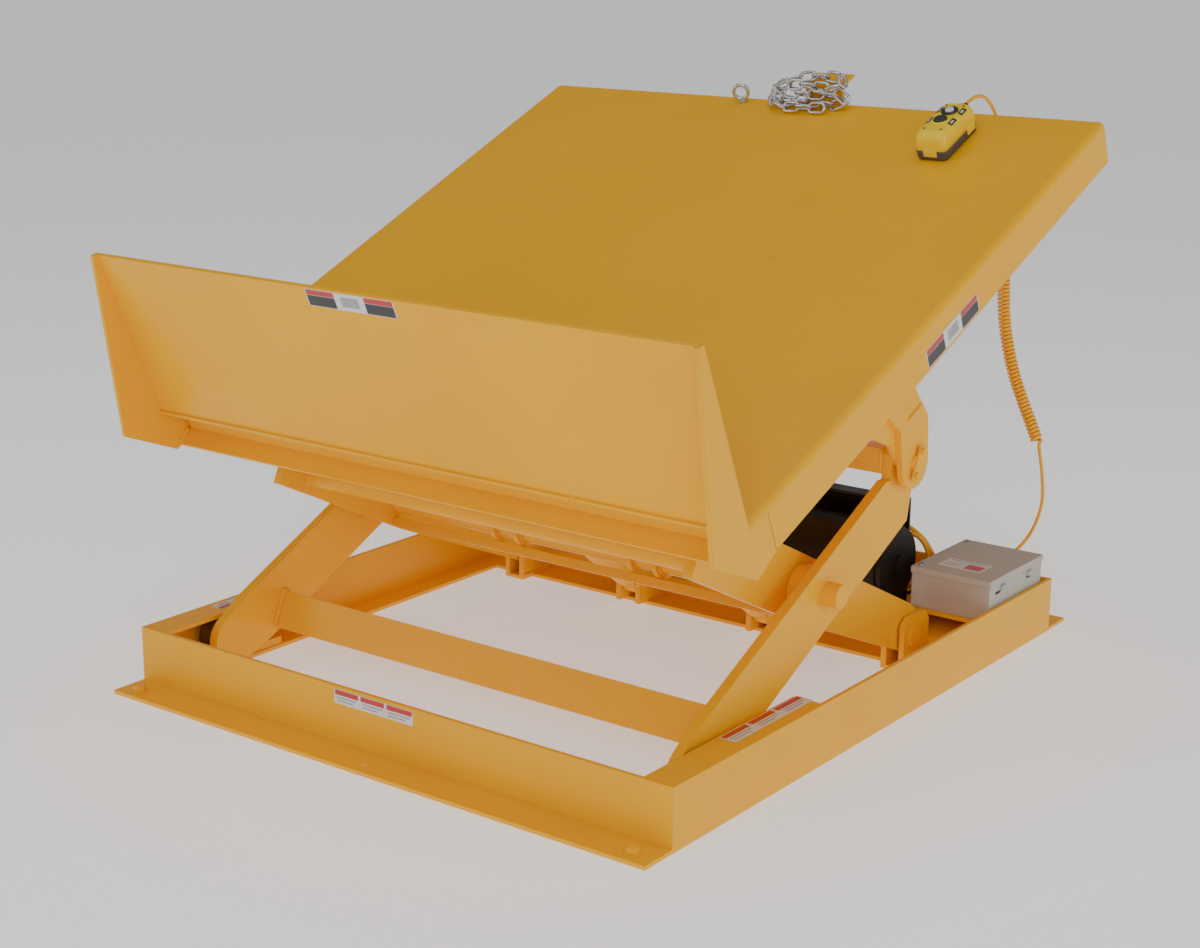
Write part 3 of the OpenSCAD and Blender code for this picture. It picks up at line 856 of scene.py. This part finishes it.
def pendant():
    base = loft(
        "pendant_base",
        [
            (0.0004, 0.060, 0.134, 0.010, 0), (0.0012, 0.064, 0.138, 0.011, 0), (
                0.005,
                0.067,
                0.1415,
                0.012,
                0,
            ),
            (0.016, 0.069, 0.1435, 0.012, 0), (0.0212, 0.0696, 0.1438, 0.012, 0), (
                0.0218,
                0.068,
                0.142,
                0.012,
                0,
            ),
        ],
        M["pendant_grey"],
        PENDANT,
    )
    piece(base, "platform", "pendant_grey", "pendant_shell")
    top = loft(
        "pendant_top",
        [
            (0.0221, 0.068, 0.142, 0.012, 0), (0.0226, 0.0698, 0.1438, 0.012, 0), (
                0.034,
                0.069,
                0.143,
                0.013,
                0,
            ),
            (0.046, 0.067, 0.141, 0.014, 0), (0.0525, 0.0635, 0.137, 0.015, 0), (
                0.0565,
                0.058,
                0.130,
                0.015,
                0.001,
            ),
            (0.0588, 0.052, 0.122, 0.014, 0.002), (0.0597, 0.046, 0.115, 0.012, 0.003), (
                0.0599,
                0.040,
                0.108,
                0.010,
                0.003,
            ),
        ],
        M["pendant_yellow"],
        PENDANT,
    )
    piece(top, "platform", "pendant_yellow", "pendant_cover")
    # tongues of the yellow half over the grey one, on both sides and the front end
    spots = ((0.0342, 0.042, 0.0024, 0.036), (-0.0342, 0.042, 0.0024, 0.036), (0.0, -0.0713, 0.030, 0.0024))
    for k, (x, y, w, d) in enumerate(spots):
        tongue = loft(
            f"pendant_tongue_{k + 1}",
            [
                (0.0100, w * 0.9, d * 0.86, 0.0009, 0), (0.0108, w, d * 0.94, 0.001, 0),
                (0.0240, w, d, 0.001, 0), (0.0290, w * 0.6, d, 0.0006, 0),
            ],
            M["pendant_yellow"],
            PENDANT @ Matrix.Translation((x, y, 0)),
            3,
        )
        piece(tongue, "platform", "pendant_yellow")
    # round boss on the front end, screws and button collars
    boss = PENDANT @ Matrix.Translation((0, -0.0709, 0.036)) @ Matrix.Rotation(math.radians(90), 4, "X")
    rim = [(0.0105, -0.002), (0.0105, 0.0006), (0.0098, 0.0010), (0.0088, 0.0008), (0.0084, 0.0010)]
    piece(lathe("pendant_end_boss", rim, boss, M["pendant_yellow"]), "platform", "pendant_yellow")
    for k, (x, y) in enumerate(((0.019, 0.0520), (-0.019, 0.0520), (0.019, -0.0470), (-0.019, -0.0470))):
        at = PENDANT @ Matrix.Translation((x, y, 0.0592))
        head = [(0.0028, -0.001), (0.0028, 0.0009), (0.0022, 0.0013), (0.0009, 0.0010)]
        piece(lathe(f"pendant_screw_{k + 1}", head, at, M["black_plastic"], 20), "platform", "black_plastic")
    collars = (("rear", 0.028, 0.0098, "black_plastic"), ("front", -0.012, 0.0143, "pendant_yellow"))
    for name, y, hole, slot in collars:
        at = PENDANT @ Matrix.Translation((0, y, 0.0590))
        ring = [
            (0.0178, -0.001),
            (0.0176, 0.0026),
            (0.0168, 0.0040),
            (0.0152, 0.0044),
            (hole + 0.0004, 0.0038),
            (hole, 0.0006),
        ]
        piece(lathe(f"button_collar_{name}", ring, at, M[slot], 48), "platform", slot)
    # keys that press in
    for node, body, y, r, slot in (
        ("up_button", "up_key", 0.028, 0.0090, "white_key"),
        ("down_button", "down_key", -0.012, 0.0134, "black_plastic"),
    ):
        at = PENDANT @ Matrix.Translation((0, y, 0.0552))
        cap = [(r - 0.0002, -0.0012), (r, 0.0082), (r - 0.0005, 0.0104), (r - 0.0018, 0.0114)]
        cap += [(r * 0.66, 0.0115), (r * 0.42, 0.0110), (r * 0.15, 0.0108)]
        piece(lathe(f"{node}_cap", cap, at, M[slot], 48), body, slot, node)
    # small two-tone marks beside the buttons
    for k, (x, y) in enumerate(((0.0255, 0.032), (-0.0255, 0.032), (0.0255, -0.012), (-0.0255, -0.012))):
        lean = Matrix.Rotation(math.radians(24 if x > 0 else -24), 4, "Y")
        at = PENDANT @ Matrix.Translation((x, y, 0.0585)) @ lean
        outer = [(-0.0010, 0.0095, 0.024, 0.0010, 0), (0.0008, 0.0095, 0.024, 0.0010, 0)]
        inner = [(0.0007, 0.0036, 0.012, 0.0006, 0), (0.0010, 0.0036, 0.012, 0.0006, 0)]
        piece(loft(f"pendant_mark_{k + 1}", outer, LABEL["black"], at, 3), "platform", "black_plastic")
        piece(loft(f"pendant_mark_light_{k + 1}", inner, LABEL["white"], at, 3), "platform", "white_key")
    # gland and ribbed sleeve at the rear end
    at = PENDANT @ Matrix.Translation((0, 0.0700, 0.040)) @ Matrix.Rotation(math.radians(-90), 4, "X")
    nut = [
        (0.0128, -0.001),
        (0.0130, 0.0050),
        (0.0118, 0.0062),
        (0.0100, 0.0068),
        (0.0096, 0.0110),
        (0.0080, 0.0130),
    ]
    nut += [
        (0.0070, 0.0150),
        (0.0060, 0.0156),
        (0.0063, 0.0180),
        (0.0055, 0.0186),
        (0.0057, 0.0210),
        (0.0049, 0.0216),
        (0.0047, 0.0250),
    ]
    piece(lathe("pendant_gland", nut, at, M["black_plastic"], 32), "platform", "black_plastic")


pendant()


# ---------------------------------------------------------------- floor and light
def stage():
    bm = bmesh.new()
    bmesh.ops.create_grid(bm, x_segments=1, y_segments=1, size=60)
    floor = add("floor", bm, None, False)
    n = Nodes("floor_paint")
    tone = n.mix(n.span(n.noise(0.9, 3), 0.0, 1.0), (0.90, 0.90, 0.90), (0.88, 0.88, 0.88))
    n.bumps([(n.noise(60, 3), 0.02, 0.001)])
    floor.data.materials.append(
        n.out(Base_Color=tone, Roughness=0.8, Emission_Color=(1.0, 1.0, 1.0), Emission_Strength=0.5)
    )
    floor.location.z = -0.0005
    world = bpy.data.worlds.new("studio")
    bpy.context.scene.world = world
    world.use_nodes = True
    tree = world.node_tree
    back = tree.nodes["Background"]
    coords = tree.nodes.new("ShaderNodeTexCoord")
    split = tree.nodes.new("ShaderNodeSeparateXYZ")
    ramp = tree.nodes.new("ShaderNodeValToRGB")
    tree.links.new(coords.outputs["Generated"], split.inputs["Vector"])
    tree.links.new(split.outputs["Z"], ramp.inputs["Fac"])
    tree.links.new(ramp.outputs["Color"], back.inputs["Color"])
    ramp.color_ramp.elements[0].color = (1.0, 1.0, 1.0, 1)
    ramp.color_ramp.elements[1].color = (0.30, 0.30, 0.31, 1)
    ramp.color_ramp.elements[1].position = 0.7
    back.inputs["Strength"].default_value = 0.45
    for name, spot, size, watts, aim in (
        ("key", (3.2, -4.6, 2.6), 3.0, 78, (0, -0.1, 0.4)),
        ("fill", (-3.6, -3.4, 2.2), 3.0, 38, (0, 0, 0.4)),
        ("side", (4.2, 1.0, 1.8), 2.5, 36, (0, 0, 0.4)),
        ("top", (0, -0.5, 4.6), 5.0, 62, (0, 0, 0)),
    ):
        data = bpy.data.lights.new(name, "AREA")
        data.energy = watts
        data.size = size
        lamp = bpy.data.objects.new(name, data)
        lamp.location = spot
        lamp.rotation_euler = (Vector(aim) - Vector(spot)).to_track_quat("-Z", "Y").to_euler()
        bpy.context.scene.collection.objects.link(lamp)


stage()
